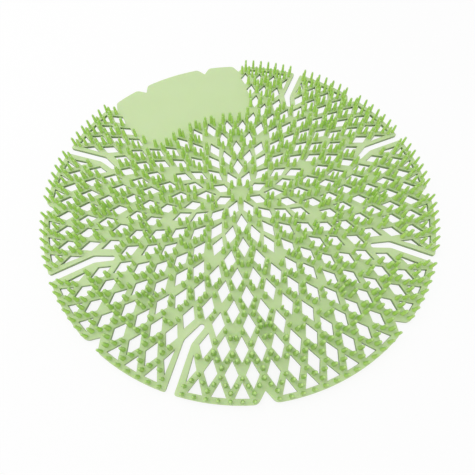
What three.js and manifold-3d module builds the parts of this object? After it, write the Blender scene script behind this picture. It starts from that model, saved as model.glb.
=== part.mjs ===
// A round urinal screen, moulded in one piece of soft scented plastic: a thin disc pierced by
// rings of lozenge holes, with upright pins on its top face, drain slots and notches round its
// rim, and one smooth panel. Units are millimetres. The flat underside is at z = 0, the disc's
// centre is on the Z axis, and +Y points through the middle of the panel. Bearings are degrees
// from +Y, positive towards +X, and the screen is alike on both sides of the Y axis.

import * as THREE from 'three';
import { mergeGeometries, mergeVertices } from 'three/addons/utils/BufferGeometryUtils.js';
import Module from 'manifold-3d';

// Disc
const SCREEN_RADIUS = 92;
const PLATE_THICKNESS = 1.5;
const RIM_STEP_ANGLE = 5.625;

// Lattice of holes
const SECTOR_COUNT = 8;
const LOZENGE_LENGTH = 10;
const LOZENGE_WIDTH = 5.3;
const WINDOW_LENGTH = 5.4;
const WINDOW_WIDTH = 5.6;
const RIM_BAND = 2.3;

// Pins
const PIN_HEIGHT = 5.2;
const PIN_BASE_DIAMETER = 1.9;
const PIN_ROOT = 0.4;
const PIN_SIDES = 3;
const PIN_EDGE_MARGIN = 1.1;

// Drain slots, open at the rim
const SLOT_WIDTH = 3.5;
const SLOT_TIP_WIDTH = 2.3;
const SLOT_FLANK = 1.9;
const SLOT_CORNER = 1.1;
const SLOT_MOUTH_ANGLE = -19.8;
const SLOT_TIP_ANGLE = -16.9;

// Notches in the rim
const NOTCH_DEPTH = 4.6;
const NOTCH_WIDTH = 6.8;
const NOTCH_SHOULDER = 1.6;
const NOTCH_ANGLE = 2.8;
const PANEL_NOTCH_ANGLE = 12;

const SCREEN_COLOUR = 0xb4d68c;

// Pattern radii are parts of the screen's radius. Offsets are degrees from a sector's middle.
const SECTOR_ANGLE = 360 / SECTOR_COUNT;
const FIRST_MIDDLE = SECTOR_ANGLE / 2;
const SIDE_SECTORS = SECTOR_COUNT / 2;

const onDivisions = (count) =>
  Array.from({ length: count + 1 }, (_, i) => (i / count - 0.5) * SECTOR_ANGLE);
const betweenDivisions = (count) =>
  Array.from({ length: count }, (_, i) => ((i + 0.5) / count - 0.5) * SECTOR_ANGLE);
const mirrored = (...offsets) => offsets.flatMap((offset) => [-offset, offset]);

const LOZENGE_ROWS = [
  { radius: 0.1, offsets: mirrored(22.5) },
  { radius: 0.178, offsets: [0] },
  { radius: 0.25, offsets: mirrored(13.9) },
  { radius: 0.311, offsets: [0] },
  { radius: 0.325, offsets: mirrored(22.5) },
  { radius: 0.383, offsets: mirrored(10.6) },
  { radius: 0.472, offsets: mirrored(5.1, 17.4) },
  { radius: 0.54, offsets: mirrored(11.25) },
  { radius: 0.56, offsets: onDivisions(2) },
  { radius: 0.627, offsets: mirrored(6.1, 16.4) },
  { radius: 0.69, offsets: onDivisions(4) },
  { radius: 0.787, offsets: betweenDivisions(8) },
  { radius: 0.888, offsets: onDivisions(8) },
];
const WINDOW_OFFSETS = betweenDivisions(8);

const PIN_ROWS = [
  { radius: 0.058, offsets: [0] },
  { radius: 0.113, offsets: [0] },
  { radius: 0.152, offsets: mirrored(14) },
  { radius: 0.236, offsets: mirrored(5.2) },
  { radius: 0.302, offsets: mirrored(7) },
  { radius: 0.318, offsets: mirrored(13.6) },
  { radius: 0.35, offsets: mirrored(16) },
  { radius: 0.396, offsets: mirrored(4.6) },
  { radius: 0.432, offsets: mirrored(8.4) },
  { radius: 0.446, offsets: onDivisions(1) },
  { radius: 0.46, offsets: [0, -11.2, 11.2] },
  { radius: 0.526, offsets: mirrored(3, 7.5, 15.2, 19.3) },
  { radius: 0.571, offsets: mirrored(8, 14.9) },
  { radius: 0.58, offsets: mirrored(3.3, 18.8) },
  { radius: 0.608, offsets: mirrored(20.3) },
  { radius: 0.641, offsets: mirrored(1.9, 9.2, 13.4, 19.8) },
  { radius: 0.671, offsets: mirrored(3.8, 14.2, 18.5) },
  { radius: 0.719, offsets: mirrored(2.5, 8.5, 13.9, 19.8) },
  { radius: 0.811, offsets: onDivisions(8) },
  { radius: 0.905, offsets: betweenDivisions(8) },
  { radius: 0.958, offsets: onDivisions(8) },
  { radius: 0.987, offsets: onDivisions(16) },
];

// Smooth panel: its corners on the +X side, and the inner arc that joins them
const PANEL_CORNERS = [
  { bearing: 25.3, radius: 0.96 },
  { bearing: 30.3, radius: 0.764 },
  { bearing: 31.6, radius: 0.64 },
  { bearing: 28.7, radius: 0.5415 },
];
const PANEL_INNER_RADIUS = 0.532;
const PANEL_ARC_POINTS = 8;

// Slot centre lines: bend and inner tip
const SLOT_BEND_RADIUS = 0.79;
const SLOT_TIP_RADIUS = 0.71;

const radians = THREE.MathUtils.degToRad;
const degrees = THREE.MathUtils.radToDeg;

function at(bearing, radius) {
  const angle = radians(bearing);
  return new THREE.Vector2(radius * Math.sin(angle), radius * Math.cos(angle));
}

function mirror(point) {
  return new THREE.Vector2(-point.x, point.y);
}

// The middles of the sectors on the +X side
const sideMiddles = Array.from({ length: SIDE_SECTORS }, (_, i) => FIRST_MIDDLE + i * SECTOR_ANGLE);

// Bearings of a row round the whole screen, each once
function around(offsets) {
  const bearings = new Map();
  for (const middle of sideMiddles) {
    for (const offset of offsets) {
      for (const side of [1, -1]) {
        const bearing = THREE.MathUtils.euclideanModulo(side * (middle + offset), 360);
        bearings.set(Math.round(bearing * 100) % 36000, bearing);
      }
    }
  }
  return [...bearings.values()];
}

// Rounds the corner between two straight runs with a short curve
function roundedCorner(before, corner, after, reach) {
  const start = corner.clone().add(before.clone().sub(corner).setLength(reach));
  const end = corner.clone().add(after.clone().sub(corner).setLength(reach));
  return new THREE.QuadraticBezierCurve(start, corner, end).getPoints(2);
}

// One V notch of the +X side, in order of bearing
function notchPoints(bearing) {
  const half = degrees(Math.asin(NOTCH_WIDTH / 2 / SCREEN_RADIUS));
  const apex = at(bearing, SCREEN_RADIUS - NOTCH_DEPTH);
  const near = at(bearing - half, SCREEN_RADIUS);
  const far = at(bearing + half, SCREEN_RADIUS);
  return {
    from: bearing - half,
    to: bearing + half,
    points: [
      ...roundedCorner(at(bearing - 2 * half, SCREEN_RADIUS), near, apex, NOTCH_SHOULDER),
      apex,
      ...roundedCorner(apex, far, at(bearing + 2 * half, SCREEN_RADIUS), NOTCH_SHOULDER),
    ],
  };
}

// Centre line of one slot of the +X side, from the rim inwards
function slotLine(middle) {
  const mouth = middle + SLOT_MOUTH_ANGLE;
  const tip = middle + SLOT_TIP_ANGLE;
  return [
    at(mouth, SCREEN_RADIUS),
    at(mouth, SLOT_BEND_RADIUS * SCREEN_RADIUS),
    at(tip, SLOT_TIP_RADIUS * SCREEN_RADIUS),
  ];
}

// One bent slot of the +X side, in order of bearing, with a round inner end
function slotPoints(middle) {
  const bearing = middle + SLOT_MOUTH_ANGLE;
  const half = degrees(Math.asin(SLOT_WIDTH / 2 / SCREEN_RADIUS));
  const [rim, bend, tip] = slotLine(middle);
  const inward = bend.clone().sub(rim).normalize();
  const slant = tip.clone().sub(bend).normalize();
  const across = new THREE.Vector2(inward.y, -inward.x);
  const tipAcross = new THREE.Vector2(slant.y, -slant.x);
  const bendAcross = across.clone().add(tipAcross).normalize();
  const offset = (point, direction, distance) => point.clone().addScaledVector(direction, distance);
  const nearBend = offset(bend, bendAcross, SLOT_WIDTH / 2);
  const farBend = offset(bend, bendAcross, -SLOT_WIDTH / 2);
  const nearTip = offset(tip, tipAcross, SLOT_TIP_WIDTH / 2);
  const farTip = offset(tip, tipAcross, -SLOT_TIP_WIDTH / 2);
  const end = offset(tip, slant, SLOT_TIP_WIDTH / 2);
  const nearRim = at(bearing - half, SCREEN_RADIUS);
  const farRim = at(bearing + half, SCREEN_RADIUS);
  return {
    from: bearing - half,
    to: bearing + half,
    points: [
      ...roundedCorner(at(bearing - 2 * half, SCREEN_RADIUS), nearRim, nearBend, SLOT_CORNER),
      nearBend,
      nearTip,
      end,
      farTip,
      farBend,
      ...roundedCorner(farBend, farRim, at(bearing + 2 * half, SCREEN_RADIUS), SLOT_CORNER),
    ],
  };
}

const slottedMiddles = sideMiddles.slice(1);
const notchBearings = [PANEL_NOTCH_ANGLE, ...sideMiddles.map((middle) => middle + NOTCH_ANGLE)];

// Rim of the whole screen: the +X half from the panel round to the far side, then its mirror
function screenOutline() {
  const features = [...notchBearings.map(notchPoints), ...slottedMiddles.map(slotPoints)];
  features.sort((a, b) => a.from - b.from);
  const half = [];
  let bearing = 0;
  const followRim = (end) => {
    const steps = Math.max(1, Math.round((end - bearing) / RIM_STEP_ANGLE));
    for (let i = 0; i < steps; i++) {
      if (i > 0 || half.length === 0) {
        half.push(at(bearing + ((end - bearing) * i) / steps, SCREEN_RADIUS));
      }
    }
  };
  for (const feature of features) {
    followRim(feature.from);
    half.push(...feature.points);
    bearing = feature.to;
  }
  followRim(180);
  half.push(at(180, SCREEN_RADIUS));
  const otherHalf = half.slice(1, -1).reverse().map(mirror);
  return [...half, ...otherHalf];
}

// Edge of the smooth panel, which no hole or pin breaks
function panelOutline() {
  const side = PANEL_CORNERS.map(({ bearing, radius }) => at(bearing, radius * SCREEN_RADIUS));
  const last = PANEL_CORNERS[PANEL_CORNERS.length - 1].bearing;
  const arc = Array.from({ length: PANEL_ARC_POINTS }, (_, i) =>
    at(last * (1 - (2 * (i + 0.5)) / PANEL_ARC_POINTS), PANEL_INNER_RADIUS * SCREEN_RADIUS));
  const rim = at(0, 2 * SCREEN_RADIUS);
  return [rim, ...side, ...arc, ...side.map(mirror).reverse()];
}

function isInside(point, outline) {
  let inside = false;
  outline.forEach((a, i) => {
    const b = outline[(i + 1) % outline.length];
    const crosses = a.y > point.y !== b.y > point.y;
    if (crosses && point.x < a.x + ((point.y - a.y) / (b.y - a.y)) * (b.x - a.x)) {
      inside = !inside;
    }
  });
  return inside;
}

function distanceToRun(point, a, b) {
  const run = b.clone().sub(a);
  const along = THREE.MathUtils.clamp(point.clone().sub(a).dot(run) / run.lengthSq(), 0, 1);
  return point.distanceTo(a.clone().addScaledVector(run, along));
}

function distanceToLine(point, line) {
  return Math.min(...line.slice(1).map((b, i) => distanceToRun(point, line[i], b)));
}

const outline = screenOutline();
const closedOutline = [...outline, outline[0]];
const panel = panelOutline();
const slotLines = slottedMiddles.map(slotLine).flatMap((line) => [line, line.map(mirror)]);

function slotDistance(point) {
  return Math.min(...slotLines.map((line) => distanceToLine(point, line)));
}

// A lozenge hole with its long axis on a radius. Beside a slot only its far half is cut.
function lozenge(bearing, radius) {
  const centre = at(bearing, radius);
  const outward = at(bearing, 1);
  const sideways = at(bearing + 90, LOZENGE_WIDTH / 2);
  const inner = centre.clone().addScaledVector(outward, -LOZENGE_LENGTH / 2);
  const outer = centre.clone().addScaledVector(outward, LOZENGE_LENGTH / 2);
  const left = centre.clone().sub(sideways);
  const right = centre.clone().add(sideways);
  const corners = [inner, right, outer, left];
  const slotReach = (SLOT_WIDTH + LOZENGE_WIDTH + SLOT_FLANK) / 2;
  if (slotDistance(centre) > slotReach) {
    return corners;
  }
  const near = slotDistance(left) < slotDistance(right) ? left : right;
  return corners.filter((corner) => corner !== near);
}

// A triangular window of the outermost ring, with its point towards the centre
function rimWindow(bearing) {
  const base = SCREEN_RADIUS - RIM_BAND;
  const foot = at(bearing, base);
  const sideways = at(bearing + 90, WINDOW_WIDTH / 2);
  return [at(bearing, base - WINDOW_LENGTH), foot.clone().add(sideways), foot.clone().sub(sideways)];
}

function isLatticePlace(point, slotMargin) {
  return !isInside(point, panel) && slotDistance(point) > SLOT_WIDTH / 2 + slotMargin;
}

function holes() {
  const found = [];
  for (const { radius, offsets } of LOZENGE_ROWS) {
    for (const bearing of around(offsets)) {
      if (isLatticePlace(at(bearing, radius * SCREEN_RADIUS), 0)) {
        found.push(lozenge(bearing, radius * SCREEN_RADIUS));
      }
    }
  }
  const notched = notchBearings.flatMap((bearing) => [bearing, 360 - bearing]);
  for (const bearing of around(WINDOW_OFFSETS)) {
    const middle = at(bearing, SCREEN_RADIUS - RIM_BAND - WINDOW_LENGTH / 2);
    const meetsNotch = notched.some((notch) => Math.abs(notch - bearing) < NOTCH_ANGLE / 2);
    if (isLatticePlace(middle, 0) && !meetsNotch) {
      found.push(rimWindow(bearing));
    }
  }
  return found;
}

function plateGeometry() {
  const shape = new THREE.Shape(outline);
  shape.holes = holes().map((points) => new THREE.Path(points));
  return new THREE.ExtrudeGeometry(shape, { depth: PLATE_THICKNESS, bevelEnabled: false });
}

// One upright tapered pin, rooted in the plate
function pinGeometry(bearing, radius) {
  const height = PIN_HEIGHT + PIN_ROOT;
  const rootRadius = ((PIN_BASE_DIAMETER / 2) * height) / PIN_HEIGHT;
  const place = at(bearing, radius);
  return new THREE.ConeGeometry(rootRadius, height, PIN_SIDES)
    .rotateX(Math.PI / 2)
    .rotateZ(-radians(bearing))
    .translate(place.x, place.y, PLATE_THICKNESS - PIN_ROOT + height / 2);
}

function pinPlaces() {
  const found = [];
  for (const { radius, offsets } of PIN_ROWS) {
    for (const bearing of around(offsets)) {
      const point = at(bearing, radius * SCREEN_RADIUS);
      const margin = distanceToLine(point, closedOutline);
      const onPlate = isInside(point, outline) && margin > PIN_EDGE_MARGIN;
      if (onPlate && isLatticePlace(point, SLOT_FLANK)) {
        found.push({ bearing, radius: radius * SCREEN_RADIUS });
      }
    }
  }
  return found;
}

function pinsGeometry() {
  return mergeGeometries(pinPlaces().map(({ bearing, radius }) => pinGeometry(bearing, radius)));
}

const wasm = await Module();
wasm.setup();

function toSolid(geometry) {
  const bare = geometry.index ? geometry.toNonIndexed() : geometry.clone();
  bare.deleteAttribute('normal');
  bare.deleteAttribute('uv');
  const merged = mergeVertices(bare, 1e-4);
  return new wasm.Manifold(new wasm.Mesh({
    numProp: 3,
    vertProperties: new Float32Array(merged.attributes.position.array),
    triVerts: new Uint32Array(merged.index.array),
  }));
}

function toGeometry(solid) {
  const mesh = solid.getMesh();
  const geometry = new THREE.BufferGeometry();
  geometry.setAttribute('position', new THREE.BufferAttribute(mesh.vertProperties, 3));
  geometry.setIndex(new THREE.BufferAttribute(mesh.triVerts, 1));
  geometry.computeVertexNormals();
  return geometry;
}

function screenMesh() {
  const solid = toSolid(plateGeometry()).add(toSolid(pinsGeometry()));
  const material = new THREE.MeshStandardMaterial({
    color: SCREEN_COLOUR,
    roughness: 0.55,
    metalness: 0,
  });
  const mesh = new THREE.Mesh(toGeometry(solid), material);
  mesh.name = 'screen';
  return mesh;
}

const urinalScreen = new THREE.Group();
urinalScreen.name = 'urinal_screen';
urinalScreen.add(screenMesh());

export default urinalScreen;
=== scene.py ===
"""A round urinal deodorizer screen, moulded in one piece of soft green scented plastic, lying on a white table.

Units are metres. The frame's +Z is up, the flat underside is at z = 0 and +Y points through the smooth panel.
Bearings are degrees from +Y, positive towards +X, and the screen is alike on both sides of the Y axis.
"""

import math

import bmesh
import bpy
from mathutils import Matrix, Vector


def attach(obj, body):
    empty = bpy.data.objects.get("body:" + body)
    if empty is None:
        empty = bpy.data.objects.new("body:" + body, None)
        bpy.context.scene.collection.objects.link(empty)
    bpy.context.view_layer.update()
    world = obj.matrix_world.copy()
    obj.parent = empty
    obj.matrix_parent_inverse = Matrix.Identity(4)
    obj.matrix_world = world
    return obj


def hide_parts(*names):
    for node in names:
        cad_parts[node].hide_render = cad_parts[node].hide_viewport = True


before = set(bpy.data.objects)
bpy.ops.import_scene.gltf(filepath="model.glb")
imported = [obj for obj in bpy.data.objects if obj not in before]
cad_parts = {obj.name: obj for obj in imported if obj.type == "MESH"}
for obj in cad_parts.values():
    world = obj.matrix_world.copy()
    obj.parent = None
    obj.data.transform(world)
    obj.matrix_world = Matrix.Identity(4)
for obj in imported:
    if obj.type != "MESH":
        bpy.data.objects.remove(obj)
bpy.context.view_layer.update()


# The screen: a thin disc of soft, scented plastic made in one shot of a mould, with rings of lozenge holes,
# upright pins with domed tips, drain slots and notches in its rim, and a smooth panel. Made in millimetres as
# one closed skin: rim, hole walls and pins first, then both flat faces filled between them, then scaled.
screen_radius = 92.0
plate_top = 1.5
sector = 45.0
sector_middles = (22.5, 67.5, 112.5, 157.5)
slotted_middles = sector_middles[1:]
notch_bearings = [12.0, 25.3, 70.3, 115.3, 160.3]
notch_half_width = 3.4
notch_depth = 4.6
slot_half_width = 1.75
slot_tip_half_width = 1.15
slot_mouth_offset = 19.8
slot_tip_offset = 16.9
slot_bend_radius = 0.79 * screen_radius
slot_tip_radius = 0.714 * screen_radius


def at(bearing, radius):
    """A point in the plane of the disc."""
    angle = math.radians(bearing)
    return Vector((radius * math.sin(angle), radius * math.cos(angle), 0.0))


def flipped(point):
    """The same point on the other side of the Y axis."""
    return Vector((-point.x, point.y, point.z))


def on_divisions(count):
    return [(i / count - 0.5) * sector for i in range(count + 1)]


def between_divisions(count):
    return [((i + 0.5) / count - 0.5) * sector for i in range(count)]


def mirrored(*offsets):
    return [side * offset for offset in offsets for side in (-1, 1)]


def paired(places, gap):
    return [place + side * gap for place in places for side in (-1, 1)]


def around(offsets):
    """The bearings of a row round the whole disc, each once."""
    bearings = {}
    for middle in sector_middles:
        for side in (1, -1):
            for offset in offsets:
                bearing = side * (middle + offset) % 360.0
                bearings[round(bearing, 2) % 360.0] = bearing
    return sorted(bearings.values())


def rounded(before, corner, after, reach):
    """A short curve in place of the corner between two straight runs."""
    start = corner + (before - corner).normalized() * reach
    end = corner + (after - corner).normalized() * reach
    steps = [i / 5 for i in range(6)]
    return [start * (1 - t) ** 2 + corner * 2 * t * (1 - t) + end * t**2 for t in steps]


def notch(bearing):
    """One V notch, in order of bearing."""
    half = math.degrees(math.asin(notch_half_width / screen_radius))
    apex = at(bearing, screen_radius - notch_depth)
    near = at(bearing - half, screen_radius)
    far = at(bearing + half, screen_radius)
    points = rounded(at(bearing - 2 * half, screen_radius), near, apex, 1.6)
    points += rounded(near, apex, far, 0.5)
    points += rounded(apex, far, at(bearing + 2 * half, screen_radius), 1.6)
    return bearing - half, bearing + half, points


def slot_line(middle):
    """The middle line of one slot from the rim inwards, with its bend."""
    mouth = middle - slot_mouth_offset
    tip = at(middle - slot_tip_offset, slot_tip_radius)
    return at(mouth, screen_radius), at(mouth, slot_bend_radius), tip


def slot(middle):
    """One bent slot that narrows to a round inner end, in order of bearing."""
    bearing = middle - slot_mouth_offset
    half = math.degrees(math.asin(slot_half_width / screen_radius))
    mouth, bend, tip = slot_line(middle)
    inward = (bend - mouth).normalized()
    slant = (tip - bend).normalized()
    across = Vector((inward.y, -inward.x, 0))
    tip_across = Vector((slant.y, -slant.x, 0))
    bend_across = (across + tip_across).normalized()
    near_rim = at(bearing - half, screen_radius)
    far_rim = at(bearing + half, screen_radius)
    near_bend = bend + bend_across * slot_half_width
    far_bend = bend - bend_across * slot_half_width
    near_tip = tip + tip_across * slot_tip_half_width
    far_tip = tip - tip_across * slot_tip_half_width
    turn = [math.radians(15 * i) for i in range(13)]
    points = rounded(at(bearing - 2 * half, screen_radius), near_rim, near_bend, 1.1)
    points += rounded(near_rim, near_bend, near_tip, 1.0)
    points += [tip + (tip_across * math.cos(a) + slant * math.sin(a)) * slot_tip_half_width for a in turn]
    points += rounded(far_tip, far_bend, far_rim, 1.0)
    points += rounded(far_bend, far_rim, at(bearing + 2 * half, screen_radius), 1.1)
    return bearing - half, bearing + half, points


# The rim on the +X side: plain arcs in steps of about 1.4 degrees, which keep 1.6 degrees clear of a notch or slot.
rim_cuts = [notch(b) for b in notch_bearings] + [slot(m) for m in slotted_middles]
rim_cuts.sort(key=lambda cut: cut[0])
half_rim = []
reached = 0.0
for start, end, points in rim_cuts + [(180.0, 180.0, [])]:
    steps = max(2, round((start - reached) / 1.4))
    arc = [reached + (start - reached) * i / steps for i in range(1, steps)]
    first = reached + (1.6 if half_rim else 0.0)
    last = start - (1.6 if points else 0.0)
    half_rim += [at(b, screen_radius) for b in arc if first < b < last]
    half_rim += points
    reached = end
rim = [at(0, screen_radius)] + half_rim + [at(180, screen_radius)]
rim += [flipped(p) for p in reversed(half_rim)]

panel_side = [at(25.3, 0.96), at(30.3, 0.764), at(31.6, 0.64), at(28.7, 0.5415)]
panel = [at(0, 2)] + panel_side + [at(28.7 * (1 - (i + 0.5) / 4), 0.532) for i in range(8)]
panel += [flipped(p) for p in reversed(panel_side)]
panel = [p * screen_radius for p in panel]
slot_lines = [slot_line(m) for m in slotted_middles]
slot_lines += [[flipped(p) for p in line] for line in slot_lines]


def is_inside(point, outline):
    inside = False
    for a, b in zip(outline, outline[1:] + outline[:1]):
        if (a.y > point.y) != (b.y > point.y):
            if point.x < a.x + (point.y - a.y) / (b.y - a.y) * (b.x - a.x):
                inside = not inside
    return inside


def distance(point, line):
    """From a point to the nearest part of a line of straight runs."""
    nearest = 1000.0
    for a, b in zip(line, line[1:]):
        run = b - a
        along = max(0.0, min(1.0, (point - a).dot(run) / run.length_squared))
        nearest = min(nearest, (point - a - run * along).length)
    return nearest


def slot_distance(point):
    return min(distance(point, line) for line in slot_lines)


lozenge_half_length = 5.0
lozenge_half_width = 2.65
lozenge_slot_room = 5.35


def lozenge(bearing, radius):
    """A lozenge with its long axis on a radius; beside a slot only its far half."""
    centre = at(bearing, radius)
    outward = at(bearing, lozenge_half_length)
    sideways = at(bearing + 90, lozenge_half_width)
    corners = [centre - outward, centre + sideways, centre + outward, centre - sideways]
    if slot_distance(centre) < lozenge_slot_room:
        near = min(corners[1], corners[3], key=slot_distance)
        corners = [c for c in corners if c is not near]
    return corners


window_half_width = 2.8
window_foot = screen_radius - 2.3
window_point = screen_radius - 7.7


def window(bearing):
    """A triangle of the outermost ring, with its point towards the middle."""
    foot = at(bearing, window_foot)
    sideways = at(bearing + 90, window_half_width)
    return [at(bearing, window_point), foot + sideways, foot - sideways]


# Each row of holes: its share of the radius, and its offsets in degrees from the middle of every sector.
lozenge_rows = [
    (0.1, mirrored(22.5)),
    (0.178, [0]),
    (0.25, mirrored(13.9)),
    (0.311, [0]),
    (0.325, mirrored(22.5)),
    (0.383, mirrored(10.6)),
    (0.472, mirrored(5.1, 17.4)),
    (0.54, mirrored(11.25)),
    (0.56, on_divisions(2)),
    (0.627, mirrored(6.1, 16.4)),
    (0.69, on_divisions(4)),
    (0.787, between_divisions(8)),
    (0.888, on_divisions(8)),
]
holes = []
for share, offsets in lozenge_rows:
    for bearing in around(offsets):
        place = at(bearing, share * screen_radius)
        if not is_inside(place, panel) and slot_distance(place) > slot_half_width:
            holes.append(lozenge(bearing, share * screen_radius))
for bearing in around(between_divisions(8)):
    place = at(bearing, screen_radius - 4.9)
    at_notch = any(abs(n - min(bearing, 360 - bearing)) < 1.4 for n in notch_bearings)
    if not is_inside(place, panel) and slot_distance(place) > slot_half_width and not at_notch:
        holes.append(window(bearing))

skin = bmesh.new()


def ring(bm, points):
    """A closed loop of edges through these points."""
    verts = [bm.verts.new(p) for p in points]
    return [bm.edges.new(pair) for pair in zip(verts, verts[1:] + verts[:1])]


def drawn_on(bm, edges, centre, scale, rise):
    """Extrudes a loop of edges, widened or narrowed about a centre and raised."""
    made = bmesh.ops.extrude_edge_only(bm, edges=edges)["geom"]
    verts = [g for g in made if isinstance(g, bmesh.types.BMVert)]
    about = Matrix.Translation(-centre)
    bmesh.ops.scale(bm, vec=(scale, scale, 1), space=about, verts=verts)
    bmesh.ops.translate(bm, vec=(0, 0, rise), verts=verts)
    return [g for g in made if isinstance(g, bmesh.types.BMEdge)]


def add_to_skin(bm):
    """Joins a finished small mesh to the skin."""
    mesh = bpy.data.meshes.new("part")
    bm.to_mesh(mesh)
    bm.free()
    skin.from_mesh(mesh)
    bpy.data.meshes.remove(mesh)


body = bmesh.new()
ring(body, rim)
bmesh.ops.edgeloop_fill(body, edges=body.edges[:])
grown = bmesh.ops.extrude_face_region(body, geom=body.faces[:])["geom"]
top_face = [g for g in grown if isinstance(g, bmesh.types.BMFace)]
bmesh.ops.translate(body, vec=(0, 0, plate_top), verts=[g for g in grown if isinstance(g, bmesh.types.BMVert)])
top_edges = list(top_face[0].edges)
bmesh.ops.bevel(body, geom=top_edges, affect="EDGES", offset=0.16, segments=3, profile=0.5, material=-1)
flat = [f for f in body.faces if len(f.verts) > 50]
bmesh.ops.delete(body, geom=flat, context="FACES_ONLY")
add_to_skin(body)

# The wall of each hole, drawn up from the underside, with a lip that opens at the top face.
lip_height = 0.12
lip_start = 0.04
lip_width = 0.12
lips = []
for corners in holes:
    lengths = [(corners[i - 1] - corners[(i + 1) % len(corners)]).length for i in range(3)]
    if len(corners) == 4:
        centre = (corners[0] + corners[2]) / 2
    else:
        centre = sum((c * w for c, w in zip(corners, lengths)), Vector()) / sum(lengths)
    inner = distance(centre, corners[:2])
    wall = bmesh.new()
    ring(wall, corners)
    bmesh.ops.bevel(wall, geom=wall.verts[:], affect="VERTICES", offset=0.14, segments=2, profile=0.5, material=-1)
    edge = drawn_on(wall, wall.edges[:], centre, 1.0, plate_top - lip_height)
    edge = drawn_on(wall, edge, centre, 1 + lip_start / inner, lip_height * 2 / 3)
    edge = drawn_on(wall, edge, centre, (inner + lip_width) / (inner + lip_start), lip_height / 3)
    lips.append((centre, [[Vector((v.co.x, v.co.y, 0)) for v in e.verts] for e in edge]))
    add_to_skin(wall)

# Each row of pins: its share of the radius, its offsets, and the girth of its pins. The first rows have the
# first claim on the webs, and a later pin gets a narrower foot, or is left out, where there is too little room.
pin_rows = [
    (0.9875, on_divisions(16), 0.9),
    (0.957, on_divisions(8), 1.0),
    (0.903, between_divisions(8), 1.0),
    (0.811, on_divisions(8), 1.1),
    (0.463, [0], 1.1),
    (0.458, mirrored(11.2), 1.1),
    (0.318, mirrored(13.8), 1.1),
    (0.930, paired(between_divisions(8), 1.45), 0.95),
    (0.866, [-8.4, 2.8, 14.1, 19.7], 0.95),
    (0.837, paired(on_divisions(8), 1.4), 0.95),
    (0.766, on_divisions(4), 1.0),
    (0.745, paired([5.6, -5.6, 16.9, -16.9], 0.95), 0.9),
    (0.719, mirrored(2.5, 8.4, 13.9, 19.7), 1.0),
    (0.698, [3.8, 5.6, 7.4], 1.0),
    (0.671, mirrored(3.8, 7.8, 14.2, 18.5), 1.0),
    (0.641, mirrored(1.9, 9.2, 13.4, 19.8), 1.0),
    (0.607, mirrored(2.2, 20.3), 1.0),
    (0.580, mirrored(3.3, 18.8), 1.0),
    (0.570, mirrored(8.0, 14.9), 1.0),
    (0.526, mirrored(3.0, 7.5, 15.2, 19.3), 1.0),
    (0.502, mirrored(2.1, 8.2, 14.1, 20.7), 0.95),
    (0.446, on_divisions(1), 1.0),
    (0.434, mirrored(8.4, 13.0), 1.0),
    (0.416, mirrored(14.8), 0.95),
    (0.418, mirrored(4.9), 0.9),
    (0.409, mirrored(2.0), 0.9),
    (0.396, mirrored(4.7), 1.0),
    (0.360, mirrored(4.8), 1.0),
    (0.350, mirrored(16.4), 1.0),
    (0.331, mirrored(7.8), 1.0),
    (0.302, mirrored(6.8), 1.0),
    (0.286, mirrored(18.9), 0.9),
    (0.269, mirrored(6.0), 1.0),
    (0.253, on_divisions(1), 1.0),
    (0.235, mirrored(4.6), 1.0),
    (0.213, on_divisions(1), 0.95),
    (0.170, mirrored(13.2), 0.95),
    (0.147, mirrored(14.2), 1.0),
    (0.113, [0], 1.0),
    (0.058, [0], 1.0),
]
pin_foot = 1.25
pin_profile = [(1.05, 0.18), (0.76, 4.4), (0.57, 0.45), (0.24, 0.17)]
pin_bm = bmesh.new()
base = bmesh.ops.create_circle(pin_bm, segments=8, radius=pin_foot)["verts"]
bmesh.ops.translate(pin_bm, vec=(0, 0, plate_top), verts=base)
edge = pin_bm.edges[:]
below = pin_foot
for radius, rise in pin_profile:
    edge = drawn_on(pin_bm, edge, Vector(), radius / below, rise)
    below = radius
bmesh.ops.edgeloop_fill(pin_bm, edges=edge)
pin_mesh = bpy.data.meshes.new("pin")
pin_bm.to_mesh(pin_mesh)
pin_bm.free()

rim_flank = 3.6
inner_flank = 4.0
rim_margin = 0.22
lip_margin = 0.1
pin_margin = 0.05
least_foot = 0.7
closed_rim = rim + rim[:1]
pins = []
for share, offsets, girth in pin_rows:
    for bearing in around(offsets):
        place = at(bearing, share * screen_radius)
        beside_slot = slot_distance(place) < (rim_flank if share > 0.9 else inner_flank)
        if is_inside(place, panel) or beside_slot or not is_inside(place, rim):
            continue
        room = distance(place, closed_rim) - rim_margin
        for centre, lip in lips:
            if (centre - place).length < 8:
                room = min(room, min(distance(place, run) for run in lip) - lip_margin)
        for other, taken in pins:
            if (other - place).length < 3.0:
                room = min(room, (other - place).length - taken - pin_margin)
        reach = min(room, pin_foot * girth)
        if reach > least_foot:
            pins.append((place, reach))
for place, reach in pins:
    stamp = pin_mesh.copy()
    wide = reach / pin_foot
    stamp.transform(Matrix.Translation(place) @ Matrix.Diagonal((wide, wide, 1, 1)))
    skin.from_mesh(stamp)
    bpy.data.meshes.remove(stamp)
bpy.data.meshes.remove(pin_mesh)

for level in (plate_top, 0.0):
    loops = [e for e in skin.edges if e.is_boundary and all(abs(v.co.z - level) < 1e-4 for v in e.verts)]
    bmesh.ops.triangle_fill(skin, use_beauty=True, use_dissolve=False, edges=loops, normal=(0, 0, 1))
bmesh.ops.recalc_face_normals(skin, faces=skin.faces[:])
for face in skin.faces:
    face.smooth = True
bmesh.ops.scale(skin, vec=(0.001, 0.001, 0.001), verts=skin.verts[:])
screen_mesh = bpy.data.meshes.new("screen_moulding")
skin.to_mesh(screen_mesh)
skin.free()
moulding = bpy.data.objects.new("screen_moulding", screen_mesh)
bpy.context.scene.collection.objects.link(moulding)
weighted = moulding.modifiers.new("weighted_normals", "WEIGHTED_NORMAL")
weighted.mode = "FACE_AREA"
weighted.weight = 60
weighted.keep_sharp = False

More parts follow.
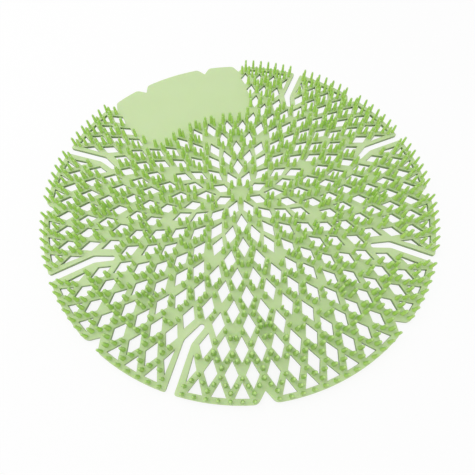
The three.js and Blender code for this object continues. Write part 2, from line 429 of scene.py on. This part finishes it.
# The plastic: pale and cloudy on the plate and deeper green on the pins, with painted shade that darkens the flanks
# of the pins and the walls of the holes towards a deep green.
plastic = bpy.data.materials.new("green_plastic")
plastic.use_nodes = True
nodes, links = plastic.node_tree.nodes, plastic.node_tree.links
surface = nodes["Principled BSDF"]
surface.inputs["Roughness"].default_value = 0.45
surface.inputs["IOR"].default_value = 1.46
surface.inputs["Subsurface Weight"].default_value = 0.25
surface.inputs["Subsurface Radius"].default_value = (0.6, 1.0, 0.25)
surface.inputs["Subsurface Scale"].default_value = 0.002
coordinates = nodes.new("ShaderNodeTexCoord")
height = nodes.new("ShaderNodeSeparateXYZ")
links.new(coordinates.outputs["Object"], height.inputs["Vector"])
cloud = nodes.new("ShaderNodeTexNoise")
cloud.inputs["Scale"].default_value = 60.0
cloud.inputs["Detail"].default_value = 3.0
links.new(coordinates.outputs["Object"], cloud.inputs["Vector"])
pale = nodes.new("ShaderNodeMix")
pale.data_type = "RGBA"
pale.inputs["A"].default_value = (0.55, 0.69, 0.36, 1)
pale.inputs["B"].default_value = (0.58, 0.72, 0.40, 1)
links.new(cloud.outputs["Fac"], pale.inputs["Factor"])
above_plate = nodes.new("ShaderNodeMapRange")
above_plate.inputs["From Min"].default_value = 0.00152
above_plate.inputs["From Max"].default_value = 0.0020
links.new(height.outputs["Z"], above_plate.inputs["Value"])
near_tip = nodes.new("ShaderNodeMapRange")
near_tip.inputs["From Min"].default_value = 0.0052
near_tip.inputs["From Max"].default_value = 0.0066
links.new(height.outputs["Z"], near_tip.inputs["Value"])
pin_colour = nodes.new("ShaderNodeMix")
pin_colour.data_type = "RGBA"
pin_colour.inputs["A"].default_value = (0.55, 0.80, 0.20, 1)
pin_colour.inputs["B"].default_value = (0.47, 0.68, 0.24, 1)
links.new(near_tip.outputs["Result"], pin_colour.inputs["Factor"])
plain_colour = nodes.new("ShaderNodeMix")
plain_colour.data_type = "RGBA"
links.new(pale.outputs["Result"], plain_colour.inputs["A"])
links.new(pin_colour.outputs["Result"], plain_colour.inputs["B"])
links.new(above_plate.outputs["Result"], plain_colour.inputs["Factor"])
# Painted shade: everything below the lip of the top face, the walls of the holes and the edge of the rim, is
# darkened towards a deep green where shade falls in the holes.
painted_wall_shade = nodes.new("ShaderNodeMapRange")
painted_wall_shade.inputs["From Min"].default_value = 0.00140
painted_wall_shade.inputs["From Max"].default_value = 0.00120
painted_wall_shade.inputs["To Max"].default_value = 0.6
links.new(height.outputs["Z"], painted_wall_shade.inputs["Value"])
# Painted shade: the flanks of the pins, where they turn away from the camera, are darkened into dark outlines.
grazing = nodes.new("ShaderNodeLayerWeight")
grazing.inputs["Blend"].default_value = 0.5
painted_flank_shade = nodes.new("ShaderNodeMapRange")
painted_flank_shade.inputs["From Min"].default_value = 0.45
painted_flank_shade.inputs["From Max"].default_value = 1.0
painted_flank_shade.inputs["To Max"].default_value = 0.75
links.new(grazing.outputs["Facing"], painted_flank_shade.inputs["Value"])
painted_pin_shade = nodes.new("ShaderNodeMath")
painted_pin_shade.operation = "MULTIPLY"
links.new(painted_flank_shade.outputs["Result"], painted_pin_shade.inputs[0])
links.new(above_plate.outputs["Result"], painted_pin_shade.inputs[1])
shade = nodes.new("ShaderNodeMath")
shade.operation = "MAXIMUM"
links.new(painted_wall_shade.outputs["Result"], shade.inputs[0])
links.new(painted_pin_shade.outputs[0], shade.inputs[1])
# Painted shade: the hole walls and the pin flanks are mixed towards this deep green.
shaded_colour = nodes.new("ShaderNodeMix")
shaded_colour.data_type = "RGBA"
shaded_colour.inputs["B"].default_value = (0.15, 0.28, 0.05, 1)
links.new(plain_colour.outputs["Result"], shaded_colour.inputs["A"])
links.new(shade.outputs[0], shaded_colour.inputs["Factor"])
links.new(shaded_colour.outputs["Result"], surface.inputs["Base Color"])
grain = nodes.new("ShaderNodeTexNoise")
grain.inputs["Scale"].default_value = 2500.0
grain.inputs["Detail"].default_value = 2.0
links.new(coordinates.outputs["Object"], grain.inputs["Vector"])
relief = nodes.new("ShaderNodeBump")
relief.inputs["Strength"].default_value = 0.15
relief.inputs["Distance"].default_value = 0.0001
links.new(grain.outputs["Fac"], relief.inputs["Height"])
links.new(relief.outputs["Normal"], surface.inputs["Normal"])
screen_mesh.materials.append(plastic)

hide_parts("screen")
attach(moulding, "root")


# The table: a plain sheet of matt white card that the screen lies on, a hair below its underside.
# It glows a little towards the camera, so that it reads as white, and keeps a faint shadow of the screen.
floor_bm = bmesh.new()
bmesh.ops.create_grid(floor_bm, x_segments=1, y_segments=1, size=2.0)
floor_mesh = bpy.data.meshes.new("table")
floor_bm.to_mesh(floor_mesh)
floor_bm.free()
floor = bpy.data.objects.new("table", floor_mesh)
floor.location.z = -0.0001
bpy.context.scene.collection.objects.link(floor)
paper = bpy.data.materials.new("white_paper")
paper.use_nodes = True
nodes, links = paper.node_tree.nodes, paper.node_tree.links
matte = nodes["Principled BSDF"]
matte.inputs["Base Color"].default_value = (0.9, 0.9, 0.9, 1)
matte.inputs["Roughness"].default_value = 0.9
glow = nodes.new("ShaderNodeEmission")
glow.inputs["Strength"].default_value = 1.0
ray = nodes.new("ShaderNodeLightPath")
direct = nodes.new("ShaderNodeMath")
direct.operation = "MAXIMUM"
links.new(ray.outputs["Is Camera Ray"], direct.inputs[0])
links.new(ray.outputs["Is Glossy Ray"], direct.inputs[1])
through = nodes.new("ShaderNodeMath")
through.operation = "MAXIMUM"
links.new(direct.outputs[0], through.inputs[0])
links.new(ray.outputs["Is Transmission Ray"], through.inputs[1])
glow_share = nodes.new("ShaderNodeMath")
glow_share.operation = "MULTIPLY"
glow_share.inputs[1].default_value = 0.85
links.new(through.outputs[0], glow_share.inputs[0])
blend = nodes.new("ShaderNodeMixShader")
links.new(glow_share.outputs[0], blend.inputs["Fac"])
links.new(matte.outputs[0], blend.inputs[1])
links.new(glow.outputs[0], blend.inputs[2])
links.new(blend.outputs[0], nodes["Material Output"].inputs["Surface"])
floor_mesh.materials.append(paper)


# The studio: an even white surround that lights the screen from all sides, and one large soft lamp,
# high behind the left side and aimed at the middle of the screen.
world = bpy.data.worlds.new("studio")
bpy.context.scene.world = world
world.use_nodes = True
nodes, links = world.node_tree.nodes, world.node_tree.links
surround = nodes["Background"]
surround.inputs["Color"].default_value = (1, 1, 1, 1)
surround.inputs["Strength"].default_value = 0.83
backdrop = nodes.new("ShaderNodeBackground")
backdrop.inputs["Color"].default_value = (1, 1, 1, 1)
backdrop.inputs["Strength"].default_value = 1.0
world_ray = nodes.new("ShaderNodeLightPath")
choose = nodes.new("ShaderNodeMixShader")
links.new(world_ray.outputs["Is Camera Ray"], choose.inputs["Fac"])
links.new(surround.outputs[0], choose.inputs[1])
links.new(backdrop.outputs[0], choose.inputs[2])
links.new(choose.outputs[0], nodes["World Output"].inputs["Surface"])
lamp_data = bpy.data.lights.new("soft_lamp", "AREA")
lamp_data.shape = "DISK"
lamp_data.size = 0.5
lamp_data.energy = 1.25
lamp = bpy.data.objects.new("soft_lamp", lamp_data)
lamp.location = (-0.25, 0.25, 0.6)
lamp.rotation_mode = "QUATERNION"
lamp.rotation_quaternion = lamp.location.to_track_quat("Z", "Y")
bpy.context.scene.collection.objects.link(lamp)


# The camera: a wide lens close above the near edge, turned down to the middle of the screen and
# rolled by about half a degree.
camera_data = bpy.data.cameras.new("camera")
camera_data.lens = 25.53
camera_data.sensor_width = 36.0
camera_data.clip_start = 0.005
camera = bpy.data.objects.new("camera", camera_data)
camera.location = (-0.0417, -0.0824, 0.1374)
aim = Vector((-0.0115, -0.0211, 0.0015))
camera.rotation_mode = "QUATERNION"
roll = Matrix.Rotation(math.radians(0.56), 3, "Z").to_quaternion()
camera.rotation_quaternion = (aim - camera.location).to_track_quat("-Z", "Y") @ roll
bpy.context.scene.collection.objects.link(camera)
bpy.context.scene.camera = camera
bpy.context.scene.view_settings.view_transform = "Standard"
